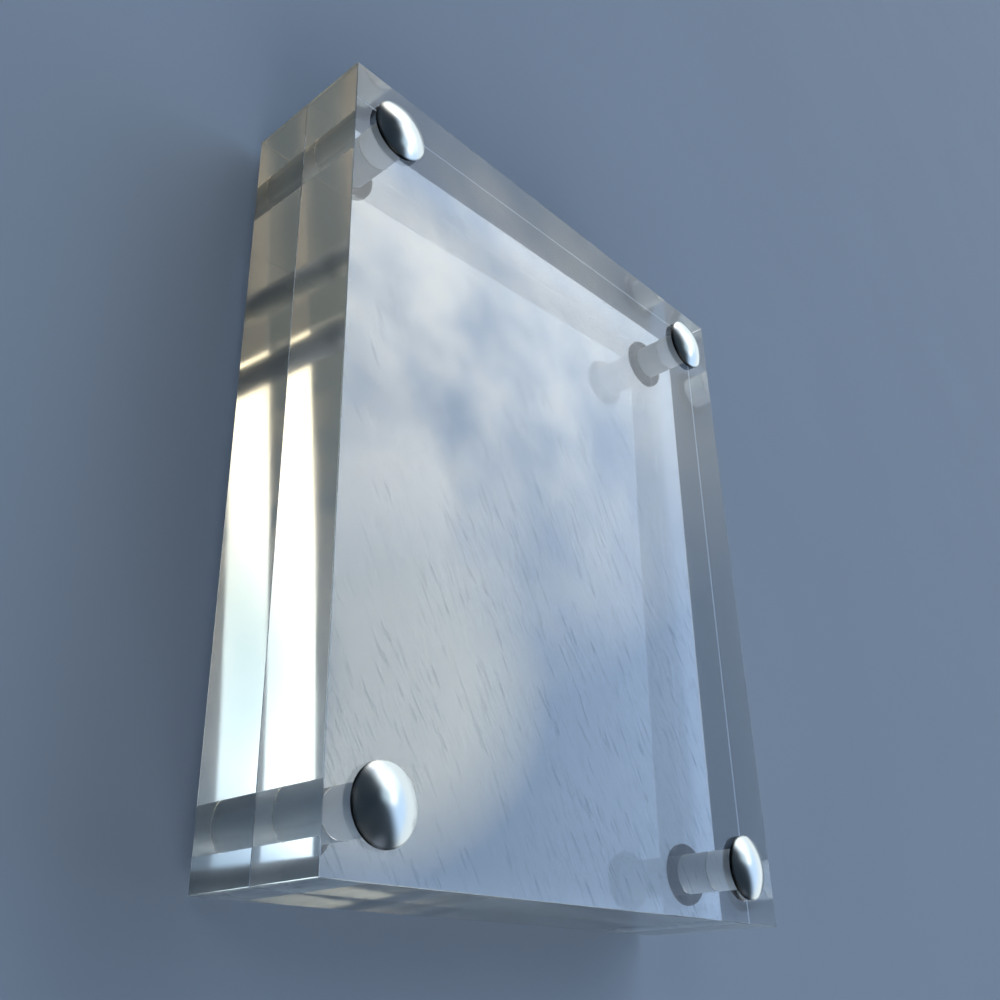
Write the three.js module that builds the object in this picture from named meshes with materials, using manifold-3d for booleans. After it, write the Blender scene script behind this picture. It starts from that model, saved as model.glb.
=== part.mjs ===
// Screwdown card holder, lying on its back: two clear slabs clamped by four two-part binding posts.
// Millimetres. X is the width, Y the height, and +Z leaves the front face.
// The origin is under the middle of the holder, on the surface that its four screw heads rest on.
import * as THREE from "three";
import { mergeVertices } from "three/addons/utils/BufferGeometryUtils.js";
import Module from "manifold-3d";

// Slabs
const PANEL_WIDTH = 102;
const PANEL_HEIGHT = 125;
const FRONT_PANEL_THICKNESS = 12.65;
const BACK_PANEL_THICKNESS = 12.65;
const CARD_GAP = 0.1; // between the slabs, closed with no card in place
const EDGE_BREAK = 0.2; // polished 45 degree break on every edge and bore mouth

// Heads, the same on posts and screws
const HEAD_DIAMETER = 10.5;
const HEAD_HEIGHT = 2.1;
const HEAD_RIM = 0.7; // where the dome starts, above the seat
const RIM_ROUND = 0.35; // rolled lower edge
const SEAT_GAP = 0.2; // head to slab
const SLOT_WIDTH = 1.3;
const SLOT_DEPTH = 1.1;

// Posts and screws
const SCREW_INSET = 9; // from each side of the slab to the fastener's axis
const THREAD_DIAMETER = 4.83;
const THREAD_ENGAGEMENT = 8;
const THREAD_CLEARANCE = 0.15; // screw to tapped hole, all round
const HOLE_RUNOUT = 1.5; // tapped hole past the screw's tip
const DRILL_ANGLE = 118; // degrees across the drill point that ends the hole
const BARREL_WALL = 0.6; // round the tapped hole
const BARREL_RECESS = 3.4; // barrel's open end to the holder's back face
const BORE_CLEARANCE = 0.2; // barrel to slab, all round
const END_CHAMFER = 0.3; // barrel end, hole mouth and screw tip

// Fastener places as seen from the front, and where in its turn each screw's slot comes to rest, in degrees
const FASTENERS = [
  { place: "top_left", sideX: -1, sideY: 1, slotTurn: 24 },
  { place: "top_right", sideX: 1, sideY: 1, slotTurn: 97 },
  { place: "bottom_left", sideX: -1, sideY: -1, slotTurn: 152 },
  { place: "bottom_right", sideX: 1, sideY: -1, slotTurn: 61 },
];

// Facets
const ROUND_SIDES = 32;
const DOME_STEPS = 6;
const RIM_STEPS = 3;

// Radii and depths that follow from the sizes above
const HEAD_RADIUS = HEAD_DIAMETER / 2;
const SHANK_RADIUS = THREAD_DIAMETER / 2;
const HOLE_RADIUS = SHANK_RADIUS + THREAD_CLEARANCE;
const BARREL_RADIUS = HOLE_RADIUS + BARREL_WALL;
const BORE_RADIUS = BARREL_RADIUS + BORE_CLEARANCE;
const HOLE_DEPTH = THREAD_ENGAGEMENT + HOLE_RUNOUT;
const DRILL_POINT = HOLE_RADIUS / Math.tan(THREE.MathUtils.degToRad(DRILL_ANGLE / 2));
const DOME_RISE = HEAD_HEIGHT - HEAD_RIM;
const DOME_RADIUS = (HEAD_RADIUS ** 2 + DOME_RISE ** 2) / (2 * DOME_RISE);
const DOME_CENTRE = HEAD_HEIGHT - DOME_RADIUS;

// Levels, from the surface up. The slot cuts the top of a screw's dome away, so its head rests on the slot's edges.
const SCREW_SEAT = DOME_CENTRE + Math.sqrt(DOME_RADIUS ** 2 - (SLOT_WIDTH / 2) ** 2);
const BACK_FACE = SCREW_SEAT + SEAT_GAP;
const CARD_BACK = BACK_FACE + BACK_PANEL_THICKNESS;
const CARD_FRONT = CARD_BACK + CARD_GAP;
const FRONT_FACE = CARD_FRONT + FRONT_PANEL_THICKNESS;
const POST_SEAT = FRONT_FACE + SEAT_GAP;
const BARREL_END = BACK_FACE + BARREL_RECESS;
const BARREL_LENGTH = POST_SEAT - BARREL_END;
const SHANK_LENGTH = BARREL_END + THREAD_ENGAGEMENT - SCREW_SEAT;

const wasm = await Module();
wasm.setup();

// A closed geometry as a solid that can be cut.
function solidOf(geometry) {
  const bare = geometry.clone();
  bare.deleteAttribute("normal");
  bare.deleteAttribute("uv");
  const merged = mergeVertices(bare);
  return new wasm.Manifold(
    new wasm.Mesh({
      numProp: 3,
      vertProperties: merged.attributes.position.array,
      triVerts: new Uint32Array(merged.index.array),
    }),
  );
}

// A solid as a geometry.
function geometryOf(solid) {
  const mesh = solid.getMesh();
  const geometry = new THREE.BufferGeometry();
  geometry.setAttribute("position", new THREE.BufferAttribute(mesh.vertProperties, 3));
  geometry.setIndex(new THREE.BufferAttribute(mesh.triVerts, 1));
  geometry.computeVertexNormals();
  return geometry;
}

function fastenerPoint({ sideX, sideY }) {
  return new THREE.Vector2(
    sideX * (PANEL_WIDTH / 2 - SCREW_INSET),
    sideY * (PANEL_HEIGHT / 2 - SCREW_INSET),
  );
}

// A drilled slab on z = 0. Its outline and bores are drawn as they meet the two faces, and the bevel widens the
// outline and narrows the bores by the edge break.
function panelGeometry(thickness) {
  const x = PANEL_WIDTH / 2 - EDGE_BREAK;
  const y = PANEL_HEIGHT / 2 - EDGE_BREAK;
  const corner = EDGE_BREAK * (Math.SQRT2 - 1);
  const outline = new THREE.Shape([
    new THREE.Vector2(x, y - corner),
    new THREE.Vector2(x - corner, y),
    new THREE.Vector2(corner - x, y),
    new THREE.Vector2(-x, y - corner),
    new THREE.Vector2(-x, corner - y),
    new THREE.Vector2(corner - x, -y),
    new THREE.Vector2(x - corner, -y),
    new THREE.Vector2(x, corner - y),
  ]);
  for (const fastener of FASTENERS) {
    const axis = fastenerPoint(fastener);
    const bore = new THREE.Path();
    bore.absarc(axis.x, axis.y, BORE_RADIUS + EDGE_BREAK, 0, 2 * Math.PI);
    outline.holes.push(bore);
  }
  const slab = new THREE.ExtrudeGeometry(outline, {
    depth: thickness - 2 * EDGE_BREAK,
    bevelSize: EDGE_BREAK,
    bevelThickness: EDGE_BREAK,
    bevelSegments: 1,
    curveSegments: ROUND_SIDES / 2,
  });
  return slab.translate(0, 0, EDGE_BREAK);
}

// Points of an arc in a turned section, where x is the radius and y the height.
function arc(x, y, radius, from, to, steps) {
  return new THREE.EllipseCurve(x, y, radius, radius, from, to, from > to).getPoints(steps);
}

// A domed head in section, from the top of the dome to its seat at height 0.
function headSection() {
  const rimAngle = Math.asin((HEAD_RIM - DOME_CENTRE) / DOME_RADIUS);
  return [
    ...arc(0, DOME_CENTRE, DOME_RADIUS, Math.PI / 2, rimAngle, DOME_STEPS),
    ...arc(HEAD_RADIUS - RIM_ROUND, RIM_ROUND, RIM_ROUND, 0, -Math.PI / 2, RIM_STEPS),
  ];
}

// Turns a section, drawn from its top to its foot, about the z axis.
function turned(section) {
  return new THREE.LatheGeometry(section.reverse(), ROUND_SIDES).rotateX(Math.PI / 2);
}

// A post with its seat on z = 0: head, barrel, and the tapped hole from the barrel's open end.
function postGeometry() {
  const end = -BARREL_LENGTH;
  return turned([
    ...headSection(),
    new THREE.Vector2(BARREL_RADIUS, 0),
    new THREE.Vector2(BARREL_RADIUS, end + END_CHAMFER),
    new THREE.Vector2(BARREL_RADIUS - END_CHAMFER / 2, end),
    new THREE.Vector2(HOLE_RADIUS + END_CHAMFER / 2, end),
    new THREE.Vector2(HOLE_RADIUS, end + END_CHAMFER),
    new THREE.Vector2(HOLE_RADIUS, end + HOLE_DEPTH),
    new THREE.Vector2(0, end + HOLE_DEPTH + DRILL_POINT),
  ]);
}

// A screw standing on its tip with its seat on z = 0, its head slotted along x.
function screwGeometry() {
  const tip = -SHANK_LENGTH;
  const blank = turned([
    ...headSection(),
    new THREE.Vector2(SHANK_RADIUS, 0),
    new THREE.Vector2(SHANK_RADIUS, tip + END_CHAMFER),
    new THREE.Vector2(SHANK_RADIUS - END_CHAMFER, tip),
    new THREE.Vector2(0, tip),
  ]);
  const slot = new THREE.BoxGeometry(2 * HEAD_DIAMETER, SLOT_WIDTH, 2 * SLOT_DEPTH);
  slot.translate(0, 0, HEAD_HEIGHT);
  return geometryOf(solidOf(blank).subtract(solidOf(slot)));
}

const holder = new THREE.Group();

function addMesh(name, geometry, material) {
  const mesh = new THREE.Mesh(geometry, material);
  mesh.name = name;
  holder.add(mesh);
  return mesh;
}

const acrylic = new THREE.MeshStandardMaterial({
  color: 0xdfe8ee,
  roughness: 0.05,
  metalness: 0,
  transparent: true,
  opacity: 0.3,
});
const satinAluminium = new THREE.MeshStandardMaterial({ color: 0xc3cad0, roughness: 0.35, metalness: 1 });
const platedSteel = new THREE.MeshStandardMaterial({ color: 0xa9afb5, roughness: 0.4, metalness: 1 });

addMesh("back_panel", panelGeometry(BACK_PANEL_THICKNESS), acrylic).position.z = BACK_FACE;
addMesh("front_panel", panelGeometry(FRONT_PANEL_THICKNESS), acrylic).position.z = CARD_FRONT;

const post = postGeometry();
const screw = screwGeometry();
for (const fastener of FASTENERS) {
  const axis = fastenerPoint(fastener);
  const postMesh = addMesh(`post_${fastener.place}`, post, satinAluminium);
  postMesh.position.set(axis.x, axis.y, POST_SEAT);
  const screwMesh = addMesh(`screw_${fastener.place}`, screw, platedSteel);
  screwMesh.position.set(axis.x, axis.y, SCREW_SEAT);
  screwMesh.rotation.set(Math.PI, 0, THREE.MathUtils.degToRad(fastener.slotTurn));
}

export default holder;
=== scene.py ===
"""Looks of a screwdown card holder: two clear slabs, four satin binding posts and four slotted screws.

Metres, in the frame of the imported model. The holder lies on its back, with its front face up.
"""

import math

import bmesh
import bpy
import numpy as np
from mathutils import Matrix, Vector


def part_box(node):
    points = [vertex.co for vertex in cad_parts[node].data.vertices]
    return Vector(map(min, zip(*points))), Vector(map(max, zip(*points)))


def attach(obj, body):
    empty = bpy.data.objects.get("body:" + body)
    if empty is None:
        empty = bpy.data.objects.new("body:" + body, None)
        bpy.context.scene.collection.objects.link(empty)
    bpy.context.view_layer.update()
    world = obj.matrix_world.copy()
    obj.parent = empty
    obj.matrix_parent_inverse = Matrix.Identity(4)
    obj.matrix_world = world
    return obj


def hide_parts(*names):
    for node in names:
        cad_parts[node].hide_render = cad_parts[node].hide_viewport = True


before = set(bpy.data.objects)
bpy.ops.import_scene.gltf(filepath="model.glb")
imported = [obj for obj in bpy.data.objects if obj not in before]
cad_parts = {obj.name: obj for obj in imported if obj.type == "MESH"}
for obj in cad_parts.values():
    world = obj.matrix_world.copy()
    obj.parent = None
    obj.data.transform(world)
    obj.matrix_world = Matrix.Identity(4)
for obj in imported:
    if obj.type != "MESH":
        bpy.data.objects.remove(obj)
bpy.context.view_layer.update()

MM = 0.001

# Slabs
EDGE_ROUND = 0.15 * MM  # polished outer edges
INNER_ROUND = 0.03 * MM  # edges where the slabs face each other
CORNER_ROUND = 0.2 * MM  # the four edges that run from front to back
MOUTH_ROUND = 0.08 * MM  # ends of the bores
BORE_RADIUS = 3.365 * MM
EDGE_STEPS = 5
CORNER_STEPS = 8
BORE_SIDES = 96

# Heads, the same on posts and screws
HEAD_HEIGHT = 2.1 * MM
HEAD_RIM = 0.7 * MM  # where the dome starts, above the seat
RIM_ROUND = 0.35 * MM
SLOT_WIDTH = 1.3 * MM
SLOT_DEPTH = 1.1 * MM
SLOT_REACH = 3  # length of the cut that makes a slot, in radii of the head
DOME_STEPS = 24
RIM_STEPS = 8
ROUND_SIDES = 128
SHARP_ANGLE = math.radians(32)  # a turned piece's edges are sharp where they bend more than this

# Barrels, tapped holes and threads
BARREL_RADIUS = 3.165 * MM
HOLE_RADIUS = 2.565 * MM
HOLE_DEPTH = 9.5 * MM
DRILL_ANGLE = math.radians(118)
END_CHAMFER = 0.3 * MM
SHANK_RADIUS = 2.415 * MM
THREAD_PITCH = 0.79375 * MM
THREAD_DEPTH = 0.42 * MM
THREAD_RUNOUT = 0.5 * MM  # under a screw's head
TAP_DEPTH = 0.28 * MM
TAP_RUNOUT = 2 * THREAD_PITCH  # at the end of a tapped hole
ROOT_FLAT = 1 / 4  # shares of the pitch
CREST_FLAT = 1 / 8
STEPS_PER_PITCH = 10

# Fastener places as seen from the front, and where in its turn each screw's slot rests, in degrees
SLOT_TURNS = {"top_left": 24, "top_right": 97, "bottom_left": 152, "bottom_right": 61}

# Camera, read off the photograph's perspective
CAMERA_PLACE = Vector((-130.19, -77.37, 124.54)) * MM
CAMERA_FORWARD = Vector((0.66063, 0.43355, -0.61287))
CAMERA_UP = Vector((-0.30989, 0.90107, 0.30339))
CAMERA_SHIFT = (0.03, 0.01)
CAMERA_NEAR = 10 * MM
LENS = 38.61

# Light. A patch of it has a direction, as a turn from +X towards +Y and a height above level, and two
# angles from there, within which it is full and beyond which it is gone, all in degrees.
WINDOW = ((28, 3), 47, 58)
CLOUD = ((47, 37), 4, 22)
SKY_BLUE = (0.95, 1.3, 1.85)
CLOUD_WHITE = (2.9, 3.05, 3.1)
CLOUD_STRETCH = (1, 1, 2)
CLOUD_DRIFT = (1.48, 2.44, 3.32)
CLOUD_COVER = (0.25, 1.05)
HAZE_COLOUR = (1.25, 1.42, 1.55)
HAZE_TOP = (0.3, 0.5)  # sines of the heights between which the haze thins out
WALL_COLOUR = (0.18, 0.24, 0.34)
WALL_TOP = (0.12, 0.25)  # sines of the heights between which the plain wall gives way to the room
ROOM_COLOUR = (0.025, 0.04, 0.06)
LIGHT_BOUNCES = 32
SLAB_BOUNCES = 24

# Soft lamps and dimmer patches, each with its colour and laid over the ones before it
LAMPS = (
    ((-97, 22), 21, 31, (3.8, 3.8, 3.8)),
    ((72, 22), 9, 16, (3.5, 3.5, 3.5)),
    ((23, 46), 5, 9.5, (2.4, 2.6, 2.65)),
    ((30, 55), 4, 9, (0.83, 1.13, 1.40)),
    ((150, 52), 6, 11, (2.6, 2.6, 2.6)),
    ((236, 38), 10, 20, (1.0, 0.95, 0.90)),
    ((-52, 39.5), 5, 14, (0.20, 0.24, 0.32)),
)

# Colours
CLEAR = (0.985, 0.995, 1.0)
FOOT_TINT = (0.93, 0.98, 0.93)  # what the long way through a slab takes out of the light
# warm colour painted into the sides towards the head, a painted reflection of warm surroundings
HEAD_PAINTED_WARMTH = (0.99, 0.72, 0.37)
SCRATCHED = (0.66, 0.72, 0.79)
FROSTED_COLOUR = (0.58, 0.70, 0.84)
POST_COLOUR = (0.60, 0.61, 0.58)
SCREW_COLOUR = (0.70, 0.73, 0.76)
HANDLED_SHADE = 0.9  # of a metal's colour, where it is handled
FOOT_PAINTED_SHADE = 0.06  # of a metal's colour, for the painted shade round the foot of a head
FLOOR_COLOURS = ((0.241, 0.310, 0.414), (0.260, 0.335, 0.443))

# Clearness and gloss
ACRYLIC_IOR = 1.49
FROSTED_CLEARNESS = 0.3
FACE_ROUGHNESS = (0.0, 0.03)
SIDE_ROUGHNESS = (0.06, 0.13)
EDGE_ROUGHNESS = (0.02, 0.2)
BORE_ROUGHNESS = (0.5, 0.75)
POST_ROUGHNESS = (0.15, 0.22)
SCREW_ROUGHNESS = (0.28, 0.4)
FLOOR_ROUGHNESS = 0.9
FLOOR_SPECULAR = 0.1

# Noises, as scale and detail
NOISE_ROUGHNESS = 0.55
SMEARS = (45, 5)
HAIRS = (1500, 1)
SCRATCH_PATCHES = (18, 3)
RIPPLE = (100, 2)
STREAKS = (500, 2)
WEAR = (2600, 3)
NICKS = (700, 5)
FROST = (9000, 3)
HANDLING = (260, 4)
POST_GRAIN = (16000, 2)
SCREW_GRAIN = (7000, 2)
TURNING_RINGS = (9000, 2)
BILLOWS = (6, 3)
MOTTLE = (14, 6)

# Values of a noise that count as none and as all of what it makes
FACE_SMEARED = (0.5, 0.75)
SIDE_SMEARED = (0.35, 0.7)
HAIRLINE = (0.645, 0.72)
PATCHED = (0.36, 0.5)
WORN = (0.4, 0.7)
NICKED = (0.62, 0.68)
MIDDLING = (0.3, 0.7)
BILLOWED = (0.36, 0.62)

# Bumps, as strength and depth
RIPPLE_BUMP = (1.0, 0.001 * MM)
STREAK_BUMP = (1.0, 0.003 * MM)
NICK_BUMP = (0.6, 0.06 * MM)
FROST_BUMP = (0.3, 0.05 * MM)
GRAIN_BUMP = (0.12, 0.02 * MM)
POST_RING_BUMP = (1.0, 0.0006 * MM)
SCREW_RING_BUMP = (1.0, 0.001 * MM)

# Where marks lie, and which way they run
SCRATCH_TURN = math.radians(29)
SCRATCH_STRETCH = 9
SCRATCH_FADE = (0.45, 0.75)  # shares of the holder's height between which scratches thin out
SCRATCHES_ABOVE = 0.2  # share of them that is left above
SCRATCHES_BETWEEN = 0.1  # share of them that is left between patches
SIDE_STRETCH = 25
BORE_STRETCH = 6
FOOT_PAINTED_SHADE_START = (-0.05 * MM, 0.0)  # heights from the seat over which the painted shade at a head's foot sets in and over which it dies away
FOOT_PAINTED_SHADE_END = (0.62 * MM, 0.85 * MM)  # and over which it dies away

FLOOR_SIZE = 12.0


# Nodes


def new_material(name):
    """A new material, its node tree and its Principled shader."""
    material = bpy.data.materials.new(name)
    material.use_nodes = True
    tree = material.node_tree
    return material, tree, tree.nodes["Principled BSDF"]


def node(tree, kind, **inputs):
    """A shader node with some of its sockets set by name."""
    made = tree.nodes.new(kind)
    for name, value in inputs.items():
        made.inputs[name.replace("_", " ")].default_value = value
    return made


def object_place(tree, length=(1, 1, 1), turn=0):
    """Object coordinates, turned about z and then drawn out along each axis."""
    place = tree.nodes.new("ShaderNodeTexCoord")
    mapping = node(tree, "ShaderNodeMapping", Rotation=(0, 0, turn), Scale=length)
    mapping.vector_type = "TEXTURE"
    tree.links.new(place.outputs["Object"], mapping.inputs["Vector"])
    return mapping.outputs["Vector"]


def parts_of(tree, vector):
    """The X, Y and Z sockets of a vector."""
    split = tree.nodes.new("ShaderNodeSeparateXYZ")
    tree.links.new(vector, split.inputs["Vector"])
    return split.outputs


def noise(tree, vector, scale, detail):
    made = node(tree, "ShaderNodeTexNoise", Scale=scale, Detail=detail, Roughness=NOISE_ROUGHNESS)
    tree.links.new(vector, made.inputs["Vector"])
    return made.outputs["Fac"]


def spread(tree, value, low, high, to_low, to_high):
    """Maps a value from one range to another, clamped."""
    made = node(
        tree,
        "ShaderNodeMapRange",
        From_Min=low,
        From_Max=high,
        To_Min=to_low,
        To_Max=to_high,
    )
    tree.links.new(value, made.inputs["Value"])
    return made.outputs["Result"]


def combined(tree, operation, first, second):
    """The sum, product or other result of two values."""
    made = tree.nodes.new("ShaderNodeMath")
    made.operation = operation
    tree.links.new(first, made.inputs[0])
    tree.links.new(second, made.inputs[1])
    return made.outputs["Value"]


def mix(tree, share, colour, other):
    """A colour with a share of another laid over it. The other is a plain colour or a socket."""
    made = tree.nodes.new("ShaderNodeMixRGB")
    tree.links.new(share, made.inputs["Fac"])
    tree.links.new(colour, made.inputs["Color1"])
    if isinstance(other, tuple):
        made.inputs["Color2"].default_value = (*other, 1)
    else:
        tree.links.new(other, made.inputs["Color2"])
    return made.outputs["Color"]


def ramp(tree, share, colour, other):
    """A colour that turns into another as a value goes from 0 to 1."""
    made = tree.nodes.new("ShaderNodeValToRGB")
    first, last = made.color_ramp.elements
    first.color = (*colour, 1)
    last.color = (*other, 1)
    tree.links.new(share, made.inputs["Fac"])
    return made.outputs["Color"]


def bump(tree, height, strength, depth):
    """A bump node that follows a height."""
    made = node(tree, "ShaderNodeBump", Strength=strength, Distance=depth)
    tree.links.new(height, made.inputs["Height"])
    return made


def shaded(colour, shade):
    return tuple(part * shade for part in colour)


# Materials


def acrylic(name, tint):
    material, tree, shader = new_material(name)
    shader.inputs["Base Color"].default_value = (*tint, 1)
    shader.inputs["Transmission Weight"].default_value = 1
    shader.inputs["IOR"].default_value = ACRYLIC_IOR
    return material, tree, shader


def height_share(tree, place, foot, head):
    """How far up the holder a point is, from 0 at its foot to 1 at its head."""
    return spread(tree, parts_of(tree, place)["Y"], foot, head, 0, 1)


def polished_face(foot, head):
    """The slabs' faces: clear and glossy, with smears of handling, and hairline scratches low down."""
    material, tree, shader = acrylic("polished_face", CLEAR)
    place = object_place(tree)
    smears = noise(tree, place, *SMEARS)
    tree.links.new(spread(tree, smears, *FACE_SMEARED, *FACE_ROUGHNESS), shader.inputs["Roughness"])
    hairs = noise(tree, object_place(tree, (1, SCRATCH_STRETCH, 1), SCRATCH_TURN), *HAIRS)
    scratches = spread(tree, hairs, *HAIRLINE, 0, 1)
    patches = spread(tree, noise(tree, place, *SCRATCH_PATCHES), *PATCHED, SCRATCHES_BETWEEN, 1)
    low_down = spread(tree, height_share(tree, place, foot, head), *SCRATCH_FADE, 1, SCRATCHES_ABOVE)
    handled = combined(tree, "MULTIPLY", patches, low_down)
    scratched = ramp(tree, combined(tree, "MULTIPLY", scratches, handled), CLEAR, SCRATCHED)
    tree.links.new(scratched, shader.inputs["Base Color"])
    ripple = bump(tree, noise(tree, place, *RIPPLE), *RIPPLE_BUMP)
    tree.links.new(ripple.outputs["Normal"], shader.inputs["Normal"])
    return material


def polished_side(foot, head):
    """The slabs' sides: left a little soft by buffing along their length, and with a painted warm
    reflection that grows towards the head.
    """
    material, tree, shader = acrylic("polished_side", FOOT_TINT)
    place = object_place(tree)
    # The acrylic's own tint at the foot, turning into a painted warm reflection towards the head
    tint_and_painted_warmth = ramp(tree, height_share(tree, place, foot, head), FOOT_TINT, HEAD_PAINTED_WARMTH)
    tree.links.new(tint_and_painted_warmth, shader.inputs["Base Color"])
    smears = noise(tree, place, *SMEARS)
    tree.links.new(spread(tree, smears, *SIDE_SMEARED, *SIDE_ROUGHNESS), shader.inputs["Roughness"])
    streaks = noise(tree, object_place(tree, (SIDE_STRETCH, SIDE_STRETCH, 1)), *STREAKS)
    buffed = bump(tree, streaks, *STREAK_BUMP)
    tree.links.new(buffed.outputs["Normal"], shader.inputs["Normal"])
    return material


def edge_acrylic():
    """The broken edges, a little dulled and nicked by handling."""
    material, tree, shader = acrylic("dulled_edge", CLEAR)
    place = object_place(tree)
    wear = noise(tree, place, *WEAR)
    tree.links.new(spread(tree, wear, *WORN, *EDGE_ROUGHNESS), shader.inputs["Roughness"])
    nicks = spread(tree, noise(tree, place, *NICKS), *NICKED, 1, 0)
    nicked = bump(tree, nicks, *NICK_BUMP)
    tree.links.new(nicked.outputs["Normal"], shader.inputs["Normal"])
    return material


def bored_acrylic():
    """Bore walls, frosted by the drill and ringed by its feed."""
    material, tree, shader = acrylic("frosted_bore", FROSTED_COLOUR)
    shader.inputs["Transmission Weight"].default_value = FROSTED_CLEARNESS
    frost = noise(tree, object_place(tree, (BORE_STRETCH, BORE_STRETCH, 1)), *FROST)
    tree.links.new(spread(tree, frost, *MIDDLING, *BORE_ROUGHNESS), shader.inputs["Roughness"])
    frosted = bump(tree, frost, *FROST_BUMP)
    tree.links.new(frosted.outputs["Normal"], shader.inputs["Normal"])
    return material


def turning_marks(tree, place):
    """Uneven rings about z, across a dome and along a barrel, and the height that goes into them."""
    flat = tree.nodes.new("ShaderNodeVectorMath")
    flat.operation = "MULTIPLY"
    flat.inputs[1].default_value = (1, 1, 0)
    tree.links.new(place, flat.inputs[0])
    radius = tree.nodes.new("ShaderNodeVectorMath")
    radius.operation = "LENGTH"
    tree.links.new(flat.outputs["Vector"], radius.inputs[0])
    height = parts_of(tree, place)["Z"]
    scale, detail = TURNING_RINGS
    rings = node(tree, "ShaderNodeTexNoise", Scale=scale, Detail=detail)
    rings.noise_dimensions = "1D"
    tree.links.new(combined(tree, "ADD", radius.outputs["Value"], height), rings.inputs["W"])
    return rings.outputs["Fac"], height


def satin_metal(name, colour, roughness, grain, ring_bump):
    """Turned metal with a satin grain and soft patches of handling, and painted shade round the foot of its
    head.
    """
    material, tree, shader = new_material(name)
    shader.inputs["Metallic"].default_value = 1
    place = object_place(tree)
    patches = noise(tree, place, *HANDLING)
    tree.links.new(spread(tree, patches, *MIDDLING, *roughness), shader.inputs["Roughness"])
    handled = ramp(tree, patches, shaded(colour, HANDLED_SHADE), colour)
    rings, height = turning_marks(tree, place)
    # Painted shade: the colour darkens round the foot of the head, where it sits on the slab
    above = spread(tree, height, *FOOT_PAINTED_SHADE_START, 0, 1)
    below = spread(tree, height, *FOOT_PAINTED_SHADE_END, 1, 0)
    foot = combined(tree, "MULTIPLY", above, below)
    tree.links.new(mix(tree, foot, handled, shaded(colour, FOOT_PAINTED_SHADE)), shader.inputs["Base Color"])
    turned = bump(tree, rings, *ring_bump)
    satin = bump(tree, noise(tree, place, *grain), *GRAIN_BUMP)
    tree.links.new(turned.outputs["Normal"], satin.inputs["Normal"])
    tree.links.new(satin.outputs["Normal"], shader.inputs["Normal"])
    return material


def floor_paint():
    """Plain matt paint with a faint mottle."""
    material, tree, shader = new_material("floor_paint")
    shader.inputs["Roughness"].default_value = FLOOR_ROUGHNESS
    shader.inputs["Specular IOR Level"].default_value = FLOOR_SPECULAR
    mottle = noise(tree, object_place(tree), *MOTTLE)
    tree.links.new(ramp(tree, mottle, *FLOOR_COLOURS), shader.inputs["Base Color"])
    return material


# Meshes


class Skin:
    """Points with their normals, and the faces between rings of them."""

    def __init__(self):
        self.points = []
        self.normals = []
        self.faces = []
        self.kinds = []

    def ring(self, points, normals=()):
        """Adds a closed loop of points, with normals if they are to be kept, and returns their numbers."""
        first = len(self.points)
        self.points.extend(points)
        self.normals.extend(normals)
        return list(range(first, len(self.points)))

    def band(self, lower, upper, kind=0):
        """Quads between two loops of as many points. Seen from outside, both run anticlockwise about up."""
        count = len(lower)
        for i in range(count):
            j = (i + 1) % count
            self.faces.append((lower[i], lower[j], upper[j], upper[i]))
            self.kinds.append(kind)

    def pole(self, tip, loop, kind=0):
        """Triangles from a loop to one point."""
        count = len(loop)
        for i in range(count):
            self.faces.append((loop[i], loop[(i + 1) % count], tip))
            self.kinds.append(kind)

    def mesh(self, name):
        made = bpy.data.meshes.new(name)
        made.from_pydata(self.points, [], self.faces)
        made.polygons.foreach_set("material_index", self.kinds)
        return made


def outline_loop(half_x, half_y, radius):
    """A rounded rectangle about the origin: points and outward normals, anticlockwise."""
    points = []
    normals = []
    for quarter, (side_x, side_y) in enumerate(((1, 1), (-1, 1), (-1, -1), (1, -1))):
        centre = Vector((side_x * (half_x - radius), side_y * (half_y - radius)))
        for step in range(CORNER_STEPS + 1):
            angle = math.pi / 2 * (quarter + step / CORNER_STEPS)
            outward = Vector((math.cos(angle), math.sin(angle)))
            points.append(centre + outward * radius)
            normals.append(outward)
    return points, normals


def edge_profile(low, high, low_round, high_round):
    """Steps up a side with both edges rounded: inset, height, and the normal's tilt from level."""
    steps = []
    for step in range(EDGE_STEPS + 1):
        tilt = math.pi / 2 * (step / EDGE_STEPS - 1)
        steps.append((low_round * (1 - math.cos(tilt)), low + low_round * (1 + math.sin(tilt)), tilt))
    for step in range(EDGE_STEPS + 1):
        tilt = math.pi / 2 * step / EDGE_STEPS
        steps.append((high_round * (1 - math.cos(tilt)), high - high_round * (1 - math.sin(tilt)), tilt))
    return steps


def bore_loop(axis, radius):
    """A circle about an axis, clockwise: points, and normals that face the axis."""
    outward = [
        Vector((math.cos(angle), math.sin(angle)))
        for angle in np.linspace(0, -2 * math.pi, BORE_SIDES, endpoint=False)
    ]
    return [axis + n * radius for n in outward], [-n for n in outward]


def fill_flat(mesh, faces):
    """Fills flat faces with triangles. Each is given by the loops of points that bound it."""
    work = bmesh.new()
    work.from_mesh(mesh)
    work.verts.ensure_lookup_table()
    for loops in faces:
        rim = [
            work.edges.get((work.verts[a], work.verts[b]))
            for loop in loops
            for a, b in zip(loop, loop[1:] + loop[:1])
        ]
        bmesh.ops.triangle_fill(work, use_beauty=True, edges=rim)
    bmesh.ops.recalc_face_normals(work, faces=work.faces)
    work.to_mesh(mesh)
    work.free()


# A slab's finishes, by their place in its list of materials
POLISHED, FROSTED, DULLED, SIDES = range(4)


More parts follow.
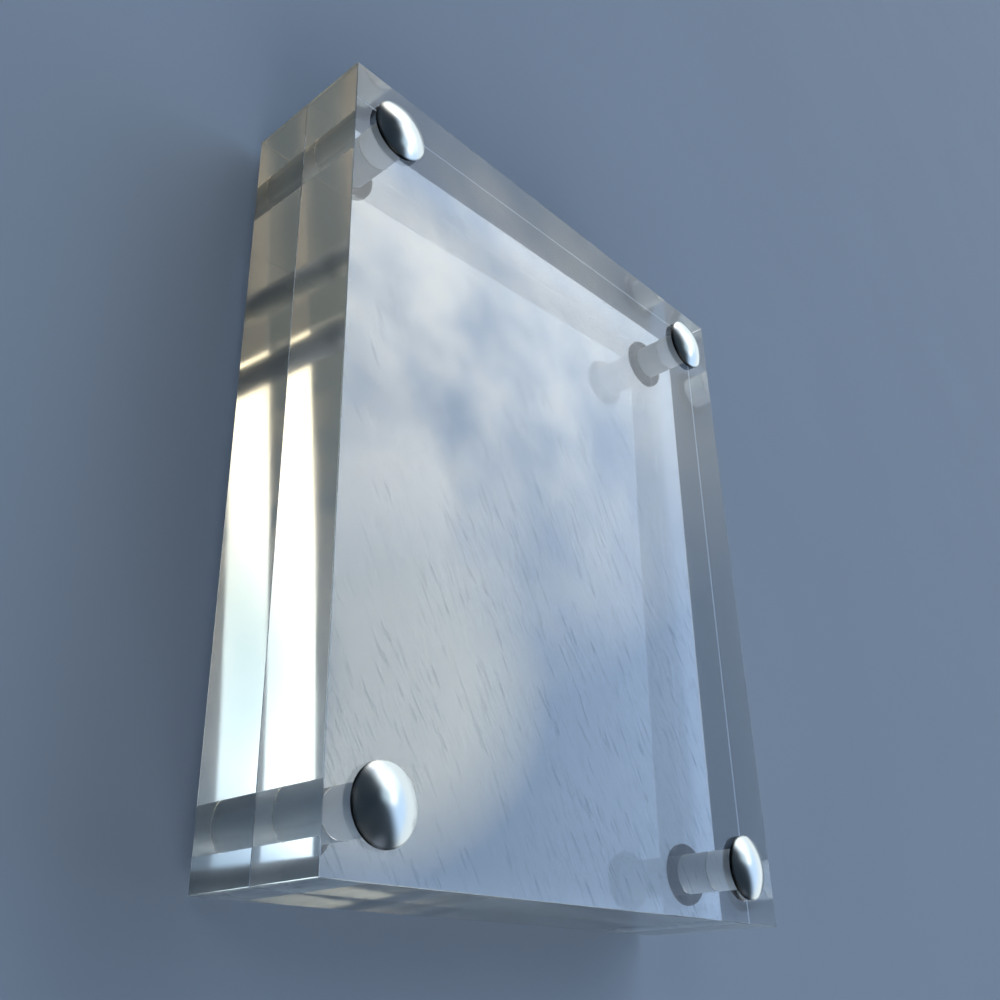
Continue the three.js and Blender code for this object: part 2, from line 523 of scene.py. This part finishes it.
def slab_mesh(name, low, high, low_round, high_round, axes):
    """A slab between two corners, with rounded edges, exactly flat faces and a bore on each axis."""
    skin = Skin()
    half = (high - low) / 2
    foot = []
    top = []

    def add_side(loop_of, rounds, kind_of_side):
        """Adds the side that rises from a loop, which is worked out for each inset of the rounded edges."""
        loops = []
        for inset, height, tilt in edge_profile(low.z, high.z, *rounds):
            points, outward = loop_of(inset)
            up = math.sin(tilt)
            across = math.cos(tilt)
            loops.append(
                skin.ring(
                    [(p.x, p.y, height) for p in points],
                    [(n.x * across, n.y * across, up) for n in outward],
                )
            )
        for i, (lower, upper) in enumerate(zip(loops, loops[1:])):
            skin.band(lower, upper, kind_of_side if i == EDGE_STEPS else DULLED)
        foot.append(loops[0])
        top.append(loops[-1])

    add_side(
        lambda inset: outline_loop(half.x - inset, half.y - inset, CORNER_ROUND - inset),
        (low_round, high_round),
        SIDES,
    )
    for axis in axes:
        add_side(
            lambda inset: bore_loop(axis.to_2d(), BORE_RADIUS + inset),
            (MOUTH_ROUND, MOUTH_ROUND),
            FROSTED,
        )
    mesh = skin.mesh(name)
    fill_flat(mesh, (foot, top))
    mesh.shade_smooth()
    mesh.normals_split_custom_set_from_vertices(skin.normals)
    return mesh


def dome_radius(head_radius):
    """Radius of the sphere that a head's dome is cut from."""
    rise = HEAD_HEIGHT - HEAD_RIM
    return (head_radius**2 + rise**2) / (2 * rise)


def head_profile(radius):
    """A domed head in section, from its seat to the top of its dome, as heights from the seat and radii."""
    dome = dome_radius(radius)
    centre = HEAD_HEIGHT - dome
    steps = []
    for step in range(RIM_STEPS + 1):
        angle = math.pi / 2 * (step / RIM_STEPS - 1)
        steps.append((RIM_ROUND * (1 + math.sin(angle)), radius - RIM_ROUND * (1 - math.cos(angle))))
    start = math.asin((HEAD_RIM - centre) / dome)
    for step in range(DOME_STEPS):
        angle = start + (math.pi / 2 - start) * step / DOME_STEPS
        steps.append((centre + dome * math.sin(angle), dome * math.cos(angle)))
    return steps


def fade(value, start, end):
    """Rises from 0 at start to 1 at end."""
    return min(1, max(0, (value - start) / (end - start)))


def thread(height, turn):
    """How far a right-hand thread stands up at a height and turn, from 0 at its root to 1 at its crest."""
    phase = (height / THREAD_PITCH - turn / (2 * math.pi)) % 1
    return fade(abs(phase - 0.5) * 2, ROOT_FLAT, 1 - CREST_FLAT)


def turned_mesh(name, profile, ends):
    """Turns a section about z and closes it with a point at each of two heights.

    A step of the section is a height and a radius, which is a number or follows from the angle.
    """
    skin = Skin()
    turns = np.linspace(0, 2 * math.pi, ROUND_SIDES, endpoint=False)
    loops = []
    for height, radius in profile:
        radii = [radius(t) if callable(radius) else radius for t in turns]
        points = [(r * math.cos(t), r * math.sin(t), height) for r, t in zip(radii, turns)]
        loops.append(skin.ring(points))
    for lower, upper in zip(loops, loops[1:]):
        skin.band(lower, upper)
    first, last = skin.ring([(0, 0, end) for end in ends])
    skin.pole(first, loops[0][::-1])
    skin.pole(last, loops[-1])
    mesh = skin.mesh(name)
    mesh.shade_smooth()
    mesh.set_sharp_from_angle(angle=SHARP_ANGLE)
    return mesh


def steps_between(start, end):
    """Heights from start to end, several to a thread's pitch."""
    count = max(2, round(abs(end - start) / THREAD_PITCH * STEPS_PER_PITCH))
    return np.linspace(start, end, count + 1)


def post_mesh(length, head_radius):
    """A post with its seat on z = 0: tapped hole up from its open end, barrel and domed head."""
    mouth = -length
    bottom = mouth + HOLE_DEPTH
    point = bottom + HOLE_RADIUS / math.tan(DRILL_ANGLE / 2)
    hole = []
    for height in steps_between(bottom, mouth + END_CHAMFER)[1:-1]:
        depth = TAP_DEPTH * min(
            fade(height, bottom, bottom - TAP_RUNOUT),
            fade(height, mouth + END_CHAMFER, mouth + END_CHAMFER + THREAD_PITCH),
        )
        hole.append((height, lambda t, z=height, d=depth: HOLE_RADIUS + d * (1 - thread(z, t))))
    barrel = [
        (mouth + END_CHAMFER, HOLE_RADIUS),
        (mouth, HOLE_RADIUS + END_CHAMFER / 2),
        (mouth, BARREL_RADIUS - END_CHAMFER / 2),
        (mouth + END_CHAMFER, BARREL_RADIUS),
        (0, BARREL_RADIUS),
    ]
    profile = [(bottom, HOLE_RADIUS), *hole, *barrel, *head_profile(head_radius)]
    return turned_mesh("post", profile, (point, HEAD_HEIGHT))


def slot_cutter(head_radius):
    """A bar along x across the top of a screw's dome."""
    mesh = bpy.data.meshes.new("slot_cutter")
    work = bmesh.new()
    size = Matrix.Diagonal((SLOT_REACH * head_radius, SLOT_WIDTH, 2 * SLOT_DEPTH, 1))
    bmesh.ops.create_cube(work, matrix=Matrix.Translation((0, 0, HEAD_HEIGHT)) @ size)
    work.to_mesh(mesh)
    work.free()
    return link("slot_cutter", mesh)


def screw_mesh(shank, head_radius):
    """A screw standing on its tip with its seat on z = 0 and its head slotted along x."""
    tip = -shank
    steps = []
    for height in steps_between(tip, 0)[1:-1]:
        chamfer = SHANK_RADIUS - END_CHAMFER * fade(height, tip + END_CHAMFER, tip)
        depth = THREAD_DEPTH * fade(height, 0, -THREAD_RUNOUT)
        steps.append(
            (height, lambda t, z=height, c=chamfer, d=depth: min(c, SHANK_RADIUS - d * (1 - thread(z, t))))
        )
    profile = [(tip, SHANK_RADIUS - THREAD_DEPTH), *steps, (0, SHANK_RADIUS), *head_profile(head_radius)]
    blank = link("screw_blank", turned_mesh("screw_blank", profile, (tip, HEAD_HEIGHT)))
    cutter = slot_cutter(head_radius)
    cut = blank.modifiers.new("slot", "BOOLEAN")
    cut.object = cutter
    cut.operation = "DIFFERENCE"
    cut.solver = "EXACT"
    slotted = bpy.data.meshes.new_from_object(blank.evaluated_get(bpy.context.evaluated_depsgraph_get()))
    bpy.data.objects.remove(blank)
    bpy.data.objects.remove(cutter)
    slotted.name = "screw"
    slotted.shade_smooth()
    slotted.set_sharp_from_angle(angle=SHARP_ANGLE)
    return slotted


# Pieces


def link(name, data):
    """A new object in the scene."""
    made = bpy.data.objects.new(name, data)
    bpy.context.scene.collection.objects.link(made)
    return made


def stands_for(piece):
    """The piece takes the place of the node of its own name and rides on that node's body."""
    node_name = piece.name.removesuffix("_look")
    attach(piece, node_name)
    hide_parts(node_name)


def middle_of(name):
    low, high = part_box(name)
    return (low + high) / 2


def make_slabs():
    foot, head = (corner.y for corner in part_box("back_panel"))
    finishes = {
        POLISHED: polished_face(foot, head),
        FROSTED: bored_acrylic(),
        DULLED: edge_acrylic(),
        SIDES: polished_side(foot, head),
    }
    axes = [middle_of(f"post_{place}") for place in SLOT_TURNS]
    rounds = {"back_panel": (EDGE_ROUND, INNER_ROUND), "front_panel": (INNER_ROUND, EDGE_ROUND)}
    for name, (low_round, high_round) in rounds.items():
        low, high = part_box(name)
        mesh = slab_mesh(name, low, high, low_round, high_round, axes)
        for kind in sorted(finishes):
            mesh.materials.append(finishes[kind])
        stands_for(link(f"{name}_look", mesh))


def make_fasteners():
    post_low, post_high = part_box("post_top_left")
    screw_low, screw_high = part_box("screw_top_left")
    head_radius = (post_high.x - post_low.x) / 2
    seat = post_high.z - HEAD_HEIGHT
    post = post_mesh(seat - post_low.z, head_radius)
    post.materials.append(
        satin_metal("satin_post", POST_COLOUR, POST_ROUGHNESS, POST_GRAIN, POST_RING_BUMP)
    )
    dome = dome_radius(head_radius)
    slot_drop = dome - math.sqrt(dome**2 - (SLOT_WIDTH / 2) ** 2)
    screw_seat = screw_low.z + HEAD_HEIGHT - slot_drop
    screw = screw_mesh(screw_high.z - screw_seat, head_radius)
    screw.materials.append(
        satin_metal("plated_screw", SCREW_COLOUR, SCREW_ROUGHNESS, SCREW_GRAIN, SCREW_RING_BUMP)
    )
    head_down = Matrix.Rotation(math.pi, 4, "X")
    for place, turn in SLOT_TURNS.items():
        axis = middle_of(f"post_{place}")
        turned = Matrix.Rotation(math.radians(turn), 4, "Z")
        piece = link(f"post_{place}_look", post)
        piece.matrix_world = Matrix.Translation((axis.x, axis.y, seat)) @ turned
        stands_for(piece)
        piece = link(f"screw_{place}_look", screw)
        piece.matrix_world = Matrix.Translation((axis.x, axis.y, screw_seat)) @ head_down @ turned
        stands_for(piece)


# Stage


def make_floor():
    mesh = bpy.data.meshes.new("floor")
    half = FLOOR_SIZE / 2
    corners = [(-half, -half, 0), (half, -half, 0), (half, half, 0), (-half, half, 0)]
    mesh.from_pydata(corners, [], [(0, 1, 2, 3)])
    mesh.materials.append(floor_paint())
    link("floor", mesh)


def direction(azimuth, elevation):
    """A unit vector from its turn from +X towards +Y and its height above level, in degrees."""
    turn = math.radians(azimuth)
    rise = math.radians(elevation)
    return (math.cos(turn) * math.cos(rise), math.sin(turn) * math.cos(rise), math.sin(rise))


def near(tree, place, towards, full, gone):
    """1 within an angle of a direction, falling to 0 at a wider one."""
    facing = tree.nodes.new("ShaderNodeVectorMath")
    facing.operation = "DOT_PRODUCT"
    facing.inputs[1].default_value = direction(*towards)
    tree.links.new(place, facing.inputs[0])
    outside = math.cos(math.radians(gone))
    inside = math.cos(math.radians(full))
    return spread(tree, facing.outputs["Value"], outside, inside, 0, 1)


def make_world():
    """A dim room with one broad window, and in it blue sky with soft white cloud and haze low down."""
    world = bpy.data.worlds.new("studio")
    world.use_nodes = True
    tree = world.node_tree
    place = tree.nodes.new("ShaderNodeTexCoord").outputs["Generated"]
    rise = parts_of(tree, place)["Z"]
    above_wall = spread(tree, rise, *WALL_TOP, 0, 1)
    room = ramp(tree, above_wall, WALL_COLOUR, ROOM_COLOUR)
    drift = node(tree, "ShaderNodeMapping", Location=CLOUD_DRIFT, Scale=CLOUD_STRETCH)
    tree.links.new(place, drift.inputs["Vector"])
    billows = noise(tree, drift.outputs["Vector"], *BILLOWS)
    cover = spread(tree, billows, *BILLOWED, *CLOUD_COVER)
    cloud = combined(tree, "MULTIPLY", near(tree, place, *CLOUD), cover)
    sky = ramp(tree, cloud, SKY_BLUE, CLOUD_WHITE)
    haze = spread(tree, rise, *HAZE_TOP, 1, 0)
    hazy_sky = mix(tree, haze, sky, HAZE_COLOUR)
    colour = mix(tree, near(tree, place, *WINDOW), room, hazy_sky)
    for towards, full, gone, glow in LAMPS:
        lit = combined(tree, "MULTIPLY", near(tree, place, towards, full, gone), above_wall)
        colour = mix(tree, lit, colour, glow)
    tree.links.new(colour, tree.nodes["Background"].inputs["Color"])
    bpy.context.scene.world = world


def make_camera():
    data = bpy.data.cameras.new("camera")
    data.lens = LENS
    data.shift_x, data.shift_y = CAMERA_SHIFT
    data.clip_start = CAMERA_NEAR
    camera = link("camera", data)
    turn = Matrix((CAMERA_FORWARD.cross(CAMERA_UP), CAMERA_UP, -CAMERA_FORWARD)).transposed()
    camera.matrix_world = Matrix.Translation(CAMERA_PLACE) @ turn.to_4x4()
    bpy.context.scene.camera = camera


def set_light_paths():
    """Light crosses and turns inside the slabs many times before it leaves them."""
    cycles = bpy.context.scene.cycles
    cycles.max_bounces = LIGHT_BOUNCES
    cycles.glossy_bounces = SLAB_BOUNCES
    cycles.transmission_bounces = SLAB_BOUNCES


make_slabs()
make_fasteners()
make_floor()
make_world()
make_camera()
set_light_paths()
bpy.context.scene.view_settings.view_transform = "Standard"
